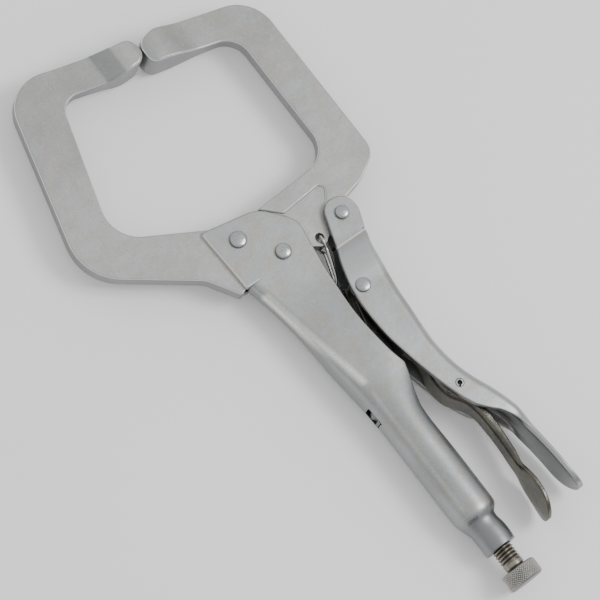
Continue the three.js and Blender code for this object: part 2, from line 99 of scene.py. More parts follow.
BAR_HALF = 3.5
TIP_HALF = 8.5
TANG_HALF = 2.8
CHEEK_INNER = 3.1
SHEET = 2.4
LEVER_SHEET = 2.3
RELEASE_SHEET = 1.8
GRIP_RADIUS = 9.5
FERRULE_RADIUS = 6.9
SCREW_RADIUS = 4.35
KNOB_RADIUS = (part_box("screw_knob")[1][1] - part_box("screw_knob")[0][1]) * 500
FERRULE_END_X = 145.0
LEVER_BOSS_HALF = 6.1
LEVER_HALF = 9.5
SPRING_HOLE_RADIUS = 1.8
SLOT_START_X = 70.3
SLOT_END_X = 78.3
SLOT_HALF = 3.0
SPRING_HOLE = (3.1, 16.8)
FIXED_TIP_Y = 3.8
MOVABLE_TIP_Y = 4.1


# ---- Curves and outlines ----

def through(knots):
    """A smooth function through knots (x, value)."""
    xs = [k[0] for k in knots]
    ys = [k[1] for k in knots]

    def slope(i):
        a, b = max(i - 1, 0), min(i + 1, len(xs) - 1)
        return (ys[b] - ys[a]) / (xs[b] - xs[a])

    def value(x):
        if x <= xs[0]:
            return ys[0]
        if x >= xs[-1]:
            return ys[-1]
        i = next(k for k, knot in enumerate(xs) if knot > x) - 1
        span = xs[i + 1] - xs[i]
        t = (x - xs[i]) / span
        ease = t * t * (3 - 2 * t)
        bend = t * (1 - t) ** 2 * slope(i) - t * t * (1 - t) * slope(i + 1)
        return ys[i] * (1 - ease) + ys[i + 1] * ease + span * bend

    return value


def smoothstep(a, b, x):
    """0 up to a, 1 from b, and a smooth rise between them."""
    t = min(max((x - a) / (b - a), 0.0), 1.0)
    return t * t * (3 - 2 * t)


def outline(corners, step=6.0, longest=1.6):
    """Counter-clockwise points round a closed outline of corners (x, y, radius) rounded with arcs."""
    points = []
    count = len(corners)
    for i, corner in enumerate(corners):
        at = Vector(corner[:2])
        radius = corner[2] if len(corner) > 2 else 0.4
        before = (Vector(corners[i - 1][:2]) - at).normalized()
        after = (Vector(corners[(i + 1) % count][:2]) - at).normalized()
        half = before.angle(after) / 2
        start = at + before * radius / math.tan(half)
        end = at + after * radius / math.tan(half)
        middle = at + (before + after).normalized() * radius / math.sin(half)
        turn = math.pi - 2 * half
        pieces = max(2, math.ceil(math.degrees(turn) / step))
        sign = -1 if before.cross(after) > 0 else 1
        arm = start - middle
        for k in range(pieces + 1):
            spin = Matrix.Rotation(sign * turn * k / pieces, 2)
            points.append(middle + spin @ arm)
    dense = []
    for i, point in enumerate(points):
        following = points[(i + 1) % len(points)]
        pieces = max(1, math.ceil((following - point).length / longest))
        dense += [point.lerp(following, k / pieces) for k in range(pieces)]
    area = sum(a.cross(b) for a, b in zip(dense, dense[1:] + dense[:1]))
    return dense if area > 0 else dense[::-1]


def inward_normals(points):
    """The directions into a counter-clockwise outline at each of its points."""
    normals = []
    for i, point in enumerate(points):
        along = (points[(i + 1) % len(points)] - points[i - 1]).normalized()
        normals.append(Vector((-along.y, along.x)))
    return normals


# ---- Meshes ----

class Form:
    """Vertices and faces of a piece under construction, in millimetres from the main pivot."""

    def __init__(self):
        self.verts = []
        self.faces = []

    def add(self, verts, faces):
        base = len(self.verts)
        self.verts += [tuple(v) for v in verts]
        self.faces += [tuple(base + i for i in face) for face in faces]

    def join(self, other):
        self.add(other.verts, other.faces)
        return self


def carved(form, cutters):
    """The form with cutters taken out of it by an exact boolean."""
    body = loose_object(form)
    tools = [loose_object(cutter) for cutter in cutters]
    for tool in tools:
        cut = body.modifiers.new("cut", "BOOLEAN")
        cut.object = tool
        cut.solver = "EXACT"
    seen = body.evaluated_get(bpy.context.evaluated_depsgraph_get()).to_mesh()
    result = Form()
    result.add([tuple(v.co) for v in seen.vertices], [tuple(f.vertices) for f in seen.polygons])
    for made in [body] + tools:
        mesh = made.data
        bpy.data.objects.remove(made)
        bpy.data.meshes.remove(mesh)
    return result


def loose_object(form):
    """A short-lived object of a form, for a boolean."""
    mesh = bpy.data.meshes.new("loose")
    mesh.from_pydata(form.verts, [], form.faces)
    work = bmesh.new()
    work.from_mesh(mesh)
    bmesh.ops.recalc_face_normals(work, faces=work.faces)
    work.to_mesh(mesh)
    work.free()
    made = bpy.data.objects.new("loose", mesh)
    bpy.context.scene.collection.objects.link(made)
    return made


def grid_faces(rows, columns, closed):
    """Quads of a grid of rows x columns, its rows closed into rings or left open."""
    faces = []
    for r in range(rows - 1):
        for c in range(columns if closed else columns - 1):
            d = (c + 1) % columns
            faces.append((r * columns + c, r * columns + d, (r + 1) * columns + d, (r + 1) * columns + c))
    return faces


def rings_form(rings, cap_start=True, cap_end=True):
    """A body through closed rings of equally many points, with flat caps."""
    columns = len(rings[0])
    verts = [v for ring in rings for v in ring]
    faces = grid_faces(len(rings), columns, True)
    if cap_start:
        faces.append(tuple(range(columns))[::-1])
    if cap_end:
        last = (len(rings) - 1) * columns
        faces.append(tuple(last + i for i in range(columns)))
    form = Form()
    form.add(verts, faces)
    return form


def rounded_plate(points, low, high, edge=0.5, height=None, edge_at=None, holes=()):
    """A plate with rounded edges between two heights, with holes (centre, radius) bored through it.

    height(x, y) gives half its thickness where that varies, and edge_at(x, y) its edge radius.
    """
    normals = inward_normals(points)
    middle = (low + high) / 2
    half_of = height or (lambda x, y: (high - low) / 2)
    radius_of = edge_at or (lambda x, y: edge)
    steps = 5
    rings = []
    for k in range(steps + 1):
        angle = math.pi / 2 * k / steps
        ring = []
        for point, normal in zip(points, normals):
            radius = radius_of(point.x, point.y)
            at = point + normal * radius * (1 - math.sin(angle))
            ring.append((at.x, at.y, -(half_of(point.x, point.y) - radius + radius * math.cos(angle))))
        rings.append(ring)
    upper = [[(x, y, -z) for x, y, z in ring] for ring in reversed(rings)]
    full = [[(x, y, z + middle) for x, y, z in ring] for ring in rings + upper]
    form = rings_form(full, not holes, not holes)
    if holes:
        bore(form, full[0], full[-1], holes)
    return form


def bore(form, bottom, top, holes, sides=40, ease=0.25):
    """Closes a plate's two faces round its holes, and adds the walls of the holes."""
    angles = np.linspace(0, 2 * math.pi, sides, endpoint=False)
    for ring, sign in ((bottom, -1), (top, 1)):
        z = ring[0][2]
        loops = [[Vector(v) for v in ring]]
        for centre, radius in holes:
            rim = radius + ease
            spokes = [(rim * math.cos(a), rim * math.sin(a)) for a in angles]
            loops.append([Vector((centre[0] + x, centre[1] + y, z)) for x, y in spokes])
        flat = [v for loop in loops for v in loop]
        form.add(flat, tessellate_polygon(loops))
    low, high = bottom[0][2], top[0][2]
    for centre, radius in holes:
        rings = []
        rim = radius + ease
        for z, r in ((low, rim), (low + ease, radius), (high - ease, radius), (high, rim)):
            rings += [(centre[0] + r * math.cos(a), centre[1] + r * math.sin(a), z) for a in angles]
        form.add(rings, grid_faces(4, sides, True))


def sheet_ring(outside, thickness, edge=0.45):
    """The closed section of a sheet from the row of points on its outside, its two edges rounded."""
    last = len(outside) - 1
    along = []
    for i in range(last + 1):
        along.append((outside[min(i + 1, last)] - outside[max(i - 1, 0)]).normalized())
    inward = [Vector((-a.y, a.x)) for a in along]
    edge = min(edge, thickness * 0.45)

    def rounded_end(i, out):
        """From the outer face round to the inner face at one end; out points away from the sheet."""
        arc = []
        for depth, first, second in ((edge, -inward[i], out), (thickness - edge, out, inward[i])):
            centre = outside[i] - out * edge + inward[i] * depth
            for k in range(4):
                angle = math.pi / 2 * k / 3
                arc.append(centre + (first * math.cos(angle) + second * math.sin(angle)) * edge)
        return arc

    start = rounded_end(0, -along[0])
    end = rounded_end(last, along[last])
    outer = outside[1:-1]
    inner = [p + n * thickness for p, n in zip(outside[1:-1], inward[1:-1])]
    return outer + end + inner[::-1] + start[::-1]


def resample(points, count):
    """Evenly spaced points along a row of points."""
    flat = np.array([tuple(p) for p in points])
    lengths = np.concatenate([[0], np.cumsum(np.linalg.norm(np.diff(flat, axis=0), axis=1))])
    at = np.linspace(0, lengths[-1], count)
    return [Vector((np.interp(s, lengths, flat[:, 0]), np.interp(s, lengths, flat[:, 1]))) for s in at]


def arc_points(centre, radius, first, last, count):
    """Points along an arc between two angles."""
    angles = np.linspace(first, last, count)
    return [Vector((centre[0] + radius * math.cos(a), centre[1] + radius * math.sin(a))) for a in angles]


def channel(mouth, back, half, corner):
    """The outside of a folded channel in (y, z), from one edge of its mouth round to the other."""
    side = 1 if back > mouth else -1
    start = -side * math.pi / 2
    centre = back - side * corner
    flat = half - corner
    points = [Vector((mouth, -side * half))]
    points += arc_points((centre, -side * flat), corner, start, start + math.pi / 2, 24)
    points += arc_points((centre, side * flat), corner, start + math.pi / 2, start + math.pi, 24)
    points.append(Vector((mouth, side * half)))
    return points


def mixed(first, second, share, count):
    """Evenly spaced points part of the way from one row of points to another."""
    return [a.lerp(b, share) for a, b in zip(resample(first, count), resample(second, count))]


def section_rings(places, path_at, thickness_at, edge=0.45):
    """Rings of a folded sheet at places along X."""
    rings = []
    for x in places:
        ring = sheet_ring(path_at(x), thickness_at(x), edge)
        rings.append([(x, p.x, p.y) for p in ring])
    return rings


def lathe(profile, sides=64):
    """A body turned about +Z from a profile of (radius, z) that starts and ends on the axis."""
    rings = []
    for radius, z in profile[1:-1]:
        rings.append([(radius * math.cos(a), radius * math.sin(a), z)
                      for a in np.linspace(0, 2 * math.pi, sides, endpoint=False)])
    form = rings_form(rings, False, False)
    for ring, (_, z), flip in ((0, profile[0], True), (len(rings) - 1, profile[-1], False)):
        tip = len(form.verts)
        form.verts.append((0, 0, z))
        for i in range(sides):
            a, b = ring * sides + i, ring * sides + (i + 1) % sides
            form.faces.append((b, a, tip) if flip else (a, b, tip))
    return form


def moved(form, matrix):
    """The form after a matrix in millimetres."""
    form.verts = [tuple(matrix @ Vector(v)) for v in form.verts]
    return form


def build(name, form, body, replaced, material, weighted=True, slices=None):
    """Makes the object of a form, on its body and in place of its CAD node."""
    mesh = bpy.data.meshes.new(name)
    mesh.from_pydata([Vector(v) / 1000 + PIVOT for v in form.verts], [], form.faces)
    work = bmesh.new()
    work.from_mesh(mesh)
    if slices:
        slice_faces(work, *slices)
    bmesh.ops.remove_doubles(work, verts=work.verts, dist=1e-7)
    bmesh.ops.recalc_face_normals(work, faces=work.faces)
    work.to_mesh(mesh)
    work.free()
    mesh.shade_smooth()
    mesh.set_sharp_from_angle(angle=math.radians(50))
    piece = bpy.data.objects.new(name, mesh)
    bpy.context.scene.collection.objects.link(piece)
    if weighted:
        shading = piece.modifiers.new("flat_faces", "WEIGHTED_NORMAL")
        shading.weight = 60
        shading.keep_sharp = True
    mesh.materials.append(material)
    if replaced:
        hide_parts(replaced)
    if body:
        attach(piece, body)
    return piece


def slice_faces(work, lowest, highest, step):
    """Cuts the mesh with planes across Y, so that its wide faces are divided into even strips."""
    for at in np.arange(lowest, highest, step):
        geom = work.verts[:] + work.edges[:] + work.faces[:]
        plane = Vector((0, at, 0)) / 1000 + PIVOT
        bmesh.ops.bisect_plane(work, geom=geom, plane_co=plane, plane_no=(0, 1, 0))


# ---- Finishes ----

class Finish:
    """A procedural metal: grain, mottled colour and uneven roughness from noise, with fine bump."""

    def __init__(self, name):
        self.material = bpy.data.materials.new(name)
        self.material.use_nodes = True
        self.tree = self.material.node_tree
        self.shader = self.tree.nodes["Principled BSDF"]
        self.shader.inputs["Metallic"].default_value = 1.0
        self.coordinates = self.tree.nodes.new("ShaderNodeTexCoord").outputs["Object"]

    def node(self, kind, **inputs):
        made = self.tree.nodes.new(kind)
        for key, value in inputs.items():
            socket = made.inputs[key.replace("_", " ")]
            if isinstance(value, bpy.types.NodeSocket):
                self.tree.links.new(value, socket)
            else:
                socket.default_value = value
        return made

    def noise(self, scale, detail=4.0, rough=0.55, stretch=(1, 1, 1)):
        """Noise whose cells are about 1/scale metres wide."""
        mapping = self.node("ShaderNodeMapping", Vector=self.coordinates, Scale=stretch)
        made = self.node("ShaderNodeTexNoise", Vector=mapping.outputs["Vector"], Scale=scale,
                         Detail=detail, Roughness=rough)
        return made.outputs["Fac"]

    def remap(self, value, low, high, to_low, to_high):
        made = self.node("ShaderNodeMapRange", Value=value, From_Min=low, From_Max=high,
                         To_Min=to_low, To_Max=to_high)
        return made.outputs["Result"]

    def blend(self, share, first, second):
        made = self.tree.nodes.new("ShaderNodeMix")
        made.data_type = "RGBA"
        for socket, value in ((made.inputs[0], share), (made.inputs[6], first), (made.inputs[7], second)):
            if isinstance(value, bpy.types.NodeSocket):
                self.tree.links.new(value, socket)
            else:
                socket.default_value = (*value, 1) if isinstance(value, tuple) else value
        return made.outputs[2]

    def math(self, operation, first, second):
        made = self.node("ShaderNodeMath")
        made.operation = operation
        for socket, value in ((made.inputs[0], first), (made.inputs[1], second)):
            if isinstance(value, bpy.types.NodeSocket):
                self.tree.links.new(value, socket)
            else:
                socket.default_value = value
        return made.outputs["Value"]

    def upright(self, first, last):
        """From 0 to 1 as the surface's tilt goes between two heights of its normal: 1 flat, 0 a wall."""
        normal = self.tree.nodes.new("ShaderNodeTexCoord").outputs["Normal"]
        height = self.node("ShaderNodeSeparateXYZ", Vector=normal).outputs["Z"]
        return self.remap(self.math("ABSOLUTE", height, 0.0), first, last, 0, 1)

    def inside_box(self, lowest, highest, soft, lean):
        """1 inside a box, fading out over a soft edge. The box climbs in Y by lean for each unit along X."""
        axes = self.node("ShaderNodeSeparateXYZ", Vector=self.coordinates)
        climb = self.math("MULTIPLY", self.math("SUBTRACT", axes.outputs["X"], lowest[0]), lean)
        places = (axes.outputs["X"], self.math("SUBTRACT", axes.outputs["Y"], climb), axes.outputs["Z"])
        share = 1.0
        for place, low, high in zip(places, lowest, highest):
            for edge, inner in ((low, low + soft), (high, high - soft)):
                share = self.math("MULTIPLY", share, self.remap(place, edge, inner, 0, 1))
        return share

    def screw_radius(self):
        """The distance from the screw's axis, in metres."""
        at = self.node("ShaderNodeSeparateXYZ", Vector=self.coordinates)
        across = self.math("SUBTRACT", at.outputs["Y"], PIVOT.y + SCREW_Y / 1000)
        above = self.math("SUBTRACT", at.outputs["Z"], PIVOT.z)
        squares = [self.math("MULTIPLY", side, side) for side in (across, above)]
        return self.math("SQRT", self.math("ADD", *squares), 0.0)

    def connect(self, value, socket):
        self.tree.links.new(value, self.shader.inputs[socket])

    def bump(self, height, strength, distance):
        made = self.node("ShaderNodeBump", Height=height, Strength=strength, Distance=distance)
        self.connect(made.outputs["Normal"], "Normal")


def plated(name, light, dark, tint, roughness, grain, stain, sides=None, edges=None, marks=()):
    """Satin zinc plating: clouds, a faint warm tint, specks, painted glints, sides darkened as painted
    shade, edges brightened as rubbed metal and painted highlight, and marks.
    """
    finish = Finish(name)
    clouds = finish.remap(finish.noise(38, 5, 0.6), 0.36, 0.66, 0, 1)
    patches = finish.remap(finish.noise(150, 4, 0.6), 0.42, 0.7, 0, stain)
    specks = finish.remap(finish.noise(1500, 2, 0.5), 0.58, 0.72, 0, 0.45)
    glints = finish.remap(finish.noise(1150, 3, 0.6), 0.60, 0.70, 0, 0.5)
    base = finish.blend(clouds, light, dark)
    base = finish.blend(patches, base, tint)
    base = finish.blend(specks, base, tuple(c * 0.62 for c in dark))
    base = finish.blend(glints, base, tuple(c * 1.22 for c in light))
    # Painted shade: walls, whose normals lie near level, take the darker colour of the sides.
    if sides:
        base = finish.blend(finish.upright(0.6, 0.3), base, sides)
    # Rubbed metal and painted highlight: bevels tilted between the flat faces and the walls take the bright
    # edges colour.
    if edges:
        rubbed_edge_and_painted_highlight = finish.math("MULTIPLY", finish.upright(0.86, 0.74), finish.upright(0.35, 0.55))
        base = finish.blend(rubbed_edge_and_painted_highlight, base, edges)
    # Marks in their boxes: the worn patch, and the painted highlights and painted shade given below.
    for low, high, colour, cover, soft, lean in marks:
        flecks = finish.remap(finish.noise(2100, 3, 0.7), 0.36, 0.62, *cover)
        share = finish.math("MULTIPLY", finish.inside_box(low, high, soft, lean), flecks)
        base = finish.blend(share, base, colour)
    finish.connect(base, "Base Color")
    fine = finish.noise(2600, 3, 0.6)
    broad = finish.noise(210, 4, 0.55)
    uneven = finish.math("ADD", clouds, finish.math("MULTIPLY", fine, 0.8))
    finish.connect(finish.remap(uneven, 0.2, 1.5, *roughness), "Roughness")
    height = finish.math("ADD", finish.math("MULTIPLY", fine, 0.35), finish.math("MULTIPLY", broad, 1.4))
    finish.bump(height, grain, 0.00012)
    return finish.material


def turned_steel(name, light, dark, roughness, stretch, roots=None):
    """Machined or drawn steel: fine streaks along one direction, darker the deeper the surface lies below
    its outer radius, as in the roots of a thread.
    """
    finish = Finish(name)
    streaks = finish.noise(900, 3, 0.6, stretch)
    clouds = finish.remap(finish.noise(120, 4, 0.6), 0.38, 0.66, 0, 1)
    share = finish.math("MULTIPLY", finish.math("ADD", clouds, streaks), 0.4)
    if roots:
        depth = finish.remap(finish.screw_radius(), roots[0] / 1000, roots[1] / 1000, 1, 0)
        share = finish.math("ADD", finish.math("MULTIPLY", share, 0.5), depth)
    finish.connect(finish.blend(share, light, dark), "Base Color")
    finish.connect(finish.remap(streaks, 0.3, 0.7, *roughness), "Roughness")
    finish.bump(streaks, 0.25, 0.00008)
    return finish.material


def mark(low, high, colour, cover=(1, 1), soft=0.3, lean=0.0):
    """A mark on a finish inside a box in millimetres from the pivot, its flecks between two strengths."""
    low, high = (PIVOT + Vector(corner) / 1000 for corner in (low, high))
    return low, high, colour, cover, soft / 1000, lean


WORN_PATCH = mark((-112, -15.5, 3), (-94.5, -6.0, 15), (0.25, 0.26, 0.26), (0.55, 0.85), 1.2)
# Painted shade: the walls of the slot, where shade falls, painted near black.
SLOT_PAINTED_SHADE = mark((SLOT_START_X - 0.6, -10.95, -SLOT_HALF - 0.3), (SLOT_END_X + 0.4, -7.0, SLOT_HALF + 0.3),
                  (0.05, 0.05, 0.05), (1, 1), 0.2)
# Painted highlight: a bright streak along the ridge on the grip, colour only.
GRIP_RIDGE_PAINTED_HIGHLIGHT = mark((66, -8.5, 3), (126, -6.0, 15), (0.66, 0.66, 0.63), (0.05, 0.6), 1.1)
# Painted highlight: a bright streak along the fold of the handle's back, colour only.
FOLD_PAINTED_HIGHLIGHT = mark((9, -19.3, 0), (63, -15.2, 15), (0.98, 0.97, 0.91), (0.4, 0.95), 1.8, 0.183)
# Painted shade: the whole ferrule darker.
FERRULE_PAINTED_SHADE = mark((128, -20, -20), (160, 20, 20), (0.24, 0.25, 0.26), (0.8, 1), 4)
# Painted shade: a dark line in the fold at the foot of the ferrule.
FERRULE_FOLD_PAINTED_SHADE = mark((129.4, -8.8, 2), (131.8, -3.6, 15), (0.09, 0.09, 0.09), (0.15, 0.8), 0.8)
# Painted light: the lever's ramp from the boss to the wide channel made lighter.
LEVER_RAMP_PAINTED_LIGHT = mark((11.0, 8, 3), (32, 40, 15), (0.56, 0.575, 0.585), (0.5, 0.8), 5)
# Painted highlight: a bright line along the crease at the foot of the lever's ramp.
LEVER_CREASE_PAINTED_HIGHLIGHT = mark((10.6, 14, 3), (11.7, 40, 15), (0.88, 0.88, 0.85), (0.4, 0.9), 0.3)
# Painted highlight: the cut edges of the handle's cheeks painted bright.
CHEEK_EDGE_PAINTED_HIGHLIGHT = mark((-26, -24.5, -15), (3.6, -22.35, 15), (0.95, 0.93, 0.86), (0.7, 1), 0.15, 0.055)

# Each look: light, dark and tint colours, roughness range, grain, stain, the colour of the sides as painted
# shade, and for the forged look the colour of the edges as rubbed metal and painted highlight.
FORGED_LOOK = ((0.475, 0.482, 0.482), (0.355, 0.362, 0.362), (0.44, 0.405, 0.335), (0.36, 0.52), 0.8, 0.45,
               (0.29, 0.29, 0.30), (0.90, 0.90, 0.89))
FORGED = plated("forged_zinc", *FORGED_LOOK)
WORN = plated("forged_zinc_worn_at_tip", *FORGED_LOOK, marks=(WORN_PATCH,))
PRESSED_LOOK = ((0.44, 0.457, 0.465), (0.34, 0.355, 0.365), (0.42, 0.385, 0.32), (0.34, 0.50), 0.65, 0.6,
                (0.33, 0.335, 0.34))
PRESSED = plated("pressed_zinc", *PRESSED_LOOK, marks=(LEVER_RAMP_PAINTED_LIGHT, LEVER_CREASE_PAINTED_HIGHLIGHT))
HANDLE_ZINC = plated("handle_zinc", *PRESSED_LOOK, marks=(
    GRIP_RIDGE_PAINTED_HIGHLIGHT, FOLD_PAINTED_HIGHLIGHT, FERRULE_PAINTED_SHADE, FERRULE_FOLD_PAINTED_SHADE, CHEEK_EDGE_PAINTED_HIGHLIGHT, SLOT_PAINTED_SHADE,
))
# The rivet's darker sides paint shade as a dark ring round the foot of each head.
RIVET = plated("rivet_zinc", (0.50, 0.52, 0.535), (0.33, 0.35, 0.365), (0.40, 0.39, 0.36),
               (0.17, 0.30), 1.1, 0.4, (0.22, 0.225, 0.23))
# Dark olive steel for the toggle link and the release lever, made darker still as painted shade.
DARK_STEEL_WITH_PAINTED_SHADE = plated("dark_link_steel_with_painted_shade", (0.13, 0.128, 0.115), (0.06, 0.059, 0.054), (0.20, 0.18, 0.13),
              (0.22, 0.42), 1.6, 0.6)
THREAD = turned_steel("screw_steel", (0.46, 0.43, 0.37), (0.10, 0.09, 0.075), (0.28, 0.42), (0.2, 1, 1),
                      (SCREW_RADIUS - 0.6, SCREW_RADIUS))
KNURL = turned_steel("knob_steel", (0.78, 0.77, 0.74), (0.20, 0.19, 0.175), (0.28, 0.44), (1, 1, 1),
                     (KNOB_RADIUS - 0.55, KNOB_RADIUS))
WIRE = turned_steel("spring_wire", (0.60, 0.60, 0.58), (0.42, 0.42, 0.40), (0.22, 0.36), (1, 1, 1))


# ---- Jaws ----

# Half the bar's thickness at distances from the tip's face.
SWELL = through([
    (0, 7.9), (1.5, 8.3), (3.5, TIP_HALF), (7.5, TIP_HALF), (12, 7.5), (16.5, 5.7), (21, 4.3),
    (29, BAR_HALF),
])
TIPS_END_X = -75
PAST_SWELL = 60.0


def forged(corners, tip_y, direction):
    """A forged bar with rounded edges that swells to its rounded tip."""
    def from_tip(x, y):
        return direction * (y - tip_y) if x < TIPS_END_X else PAST_SWELL

    def height(x, y):
        return SWELL(from_tip(x, y))

    def edge(x, y):
        return 0.75 + 0.45 * (1 - smoothstep(8, 26, from_tip(x, y)))

    return rounded_plate(outline(corners), -BAR_HALF, BAR_HALF, height=height, edge_at=edge)


def fixed_jaw():
    corners = [
        (-95.0, FIXED_TIP_Y, 5.0), (-105.7, FIXED_TIP_Y, 5.2), (-107.7, -8, 14), (-118.9, -50.3, 16),
        (-36.5, -72.2, 22), (-8.2, -32.2, 14), (4.8, -23.8, 1.4), (2.6, -19, 3), (-6.6, -14, 3),
        (-11.2, -5, 4), (-18.4, -7, 5), (-42.9, -52.4, 15), (-101.1, -34.4, 8), (-94.5, -8, 22),
    ]
    return forged(corners, FIXED_TIP_Y, -1)


def movable_jaw():
    arm = forged([
        (-102.3, MOVABLE_TIP_Y, 5.2), (-91.6, MOVABLE_TIP_Y, 4.6), (-83.2, 40.9, 10), (-22.6, 41.2, 11),
        (-20.6, 6, 8), (-20.3, 2.6, 0.6), (-12.7, 10.7, 1.2), (-14.6, 33, 2), (-4.3, 25.4, 3), (3, 23.4, 1),
        (5, 27, 1.5), (4.4, 33, 1.5), (-4.3, 36.2, 1), (-6.6, 46.2, 14), (-13.4, 57.6, 9), (-93, 57, 17),
        (-104.3, 12.8, 11),
    ], MOVABLE_TIP_Y, 1)
    web = rounded_plate(outline([
        (-18.4, 8, 2), (-9, -3.4, 2), (9.2, -3.6, 3), (9.2, 1.5, 2), (4, 11.2, 1.2), (7.3, 16.4, 2.6),
        (4.6, 21.4, 3), (2, 25, 1), (-1, 32, 1), (-17, 38, 1),
    ]), -TANG_HALF, TANG_HALF, edge=0.4, holes=[(Vector(SPRING_HOLE), SPRING_HOLE_RADIUS)])
    lug_half = BAR_HALF - 0.03
    lug = rounded_plate(outline(circle_corners(LEVER_PIVOT, 6.6)), -lug_half, lug_half)
    return arm.join(web).join(lug)


def circle_corners(centre, radius):
    """The corners of a square whose rounded corners make a full circle."""
    return [(centre[0] + sx * radius, centre[1] + sy * radius, radius * 0.999) for sx, sy in
            ((1, 1), (-1, 1), (-1, -1), (1, -1))]


# ---- Fixed handle ----

# Each of these runs along X: the folded channel's back, half width and edges, how round it has become,
# the grip's radius on its two sides, the seam's half angle, and the sheet's thickness.
HANDLE_BACK = through([
    (4, -19.3), (18, -16.2), (34, -14.1), (50, -13.1), (63, -12.2), (72, -11.4), (86, -11.1),
])
HANDLE_HALF = through([(4, 5.5), (10, 5.5), (15, 5.5), (22, 5.8), (40, 7.3), (60, 8.6), (86, GRIP_RADIUS)])
HANDLE_ROUNDNESS = through([(40, 0), (52, 0.12), (66, 0.5), (80, 0.93), (88, 1)])
GRIP_TOP = through([
    (126.5, 9.5), (128.8, 9.2), (130.3, 8.2), (131.6, 6.9), (133.5, 6.5), (137.5, 7.1), (141.5, 7.2),
    (145, FERRULE_RADIUS),
])
GRIP_BACK = through([
    (123, 9.5), (127.5, 9.3), (130.5, 8.5), (134, 7.3), (137, FERRULE_RADIUS), (145, FERRULE_RADIUS),
])
SEAM = through([(86, 0.62), (96, 0.5), (108, 0.3), (124, 0.26), (132, 0.2), (138, 0.12), (145, 0.12)])
FERRULE_SHEET = FERRULE_RADIUS - SCREW_RADIUS - 0.3
HANDLE_SHEET = through([(124, SHEET), (132, FERRULE_SHEET), (146, FERRULE_SHEET)])
HANDLE_EDGE = through([
    (3, 11.7), (10, 10.5), (16, 9.8), (22, 9.3), (30, 8.5), (37, 8.1), (46, 8.4), (57, 9.6), (63, 11.4),
    (67, 13.1), (69.3, 13.8), (71.5, 13.3), (76.5, 9.7), (81, 8.0), (87, 6.2),
])
TUBE_START_X = 87


def trimmed(points, height):
    """The middle stretch of a row of (y, z) points, cut off where y passes a height at each end."""
    first = next(i for i, p in enumerate(points) if p.x < height)
    last = len(points) - 1 - next(i for i, p in enumerate(points[::-1]) if p.x < height)

    def cut(inside, outside):
        return inside.lerp(outside, (height - inside.x) / (outside.x - inside.x))

    head = [cut(points[first], points[first - 1])] if first else []
    tail = [cut(points[last], points[last + 1])] if last + 1 < len(points) else []
    return head + points[first:last + 1] + tail


def handle_path(x):
    """The outside of the handle: a folded channel that turns into a tube with a seam along its top."""
    corner = min(5, HANDLE_HALF(x) - 2.2)
    folded = channel(16, HANDLE_BACK(x), HANDLE_HALF(x), corner)
    tube = []
    for angle in np.linspace(SEAM(x), 2 * math.pi - SEAM(x), 90):
        top = (1 + math.cos(angle)) / 2
        radius = GRIP_TOP(x) * top + GRIP_BACK(x) * (1 - top)
        tube.append(Vector((SCREW_Y + radius * math.cos(angle), radius * math.sin(angle))))
    section = mixed(folded, tube, HANDLE_ROUNDNESS(x), 160)
    if x < TUBE_START_X:
        section = trimmed(section, HANDLE_EDGE(x))
    return resample(section, 64)


def ferrule_rim():
    """The last rings of the ferrule, drawn in towards the middle of the sheet to round its end."""
    rim = sheet_ring(handle_path(FERRULE_END_X), FERRULE_SHEET)
    middle = Vector((SCREW_Y, 0))
    centre_radius = FERRULE_RADIUS - FERRULE_SHEET / 2
    rings = []
    for inset, x in ((0.1, FERRULE_END_X - 0.1), (0.3, FERRULE_END_X)):
        ring = []
        for p in rim:
            arm = p - middle
            pulled = centre_radius + (arm.length - centre_radius) * (1 - inset)
            ring.append((x, *(middle + arm.normalized() * pulled)))
        rings.append(ring)
    return rings


def fixed_handle():
    places = np.concatenate([np.arange(4, 60, 2), np.arange(60, 90, 0.8), np.arange(90, 126, 2.4),
                             np.arange(126, 144.7, 0.7), [144.7]])
    sheet = section_rings(places, handle_path, HANDLE_SHEET) + ferrule_rim()
    slot = rounded_plate(outline([
        (SLOT_START_X, -16, 0.9), (SLOT_END_X, -16, 0.9), (SLOT_END_X, -7, 0.9), (SLOT_START_X, -7, 0.9),
    ]), -SLOT_HALF, SLOT_HALF, edge=0.5)
    form = carved(rings_form(sheet), [slot])
    cheek = outline([
        (-24.9, -22.9, 1.5), (4.2, -21.3, 0.8), (4.2, -15, 0.4), (12, -12, 0.4), (12, 9.6, 0.4),
        (3.5, 11.5, 14), (-7.4, 13.6, 10), (-20.3, 2.3, 14),
    ])
    for side in (1, -1):
        low, high = sorted((side * CHEEK_INNER, side * (CHEEK_INNER + SHEET - 0.015)))
        form.join(rounded_plate(cheek, low, high, edge=0.8))
    return form


def spring_tab():
    """The strip pressed inwards out of the handle's back to hold the spring, its cut faces left bright."""
    tab = outline([
        (SLOT_START_X + 1.2, -10.0, 0.5), (SLOT_END_X - 4.6, -10.9, 0.9), (SLOT_END_X - 2.9, -9.9, 0.7),
        (SLOT_END_X - 1.5, -11.1, 0.5), (SLOT_END_X - 0.4, -11.0, 0.3), (SLOT_END_X - 0.4, -4.6, 0.3),
        (SLOT_END_X - 1.7, -4.6, 0.6), (SLOT_END_X - 1.9, -7.8, 0.8), (SLOT_START_X + 1.2, -7.4, 0.6),
    ])
    return rounded_plate(tab, -SLOT_HALF + 0.45, SLOT_HALF - 0.45, edge=0.25)


# ---- Lever handle ----

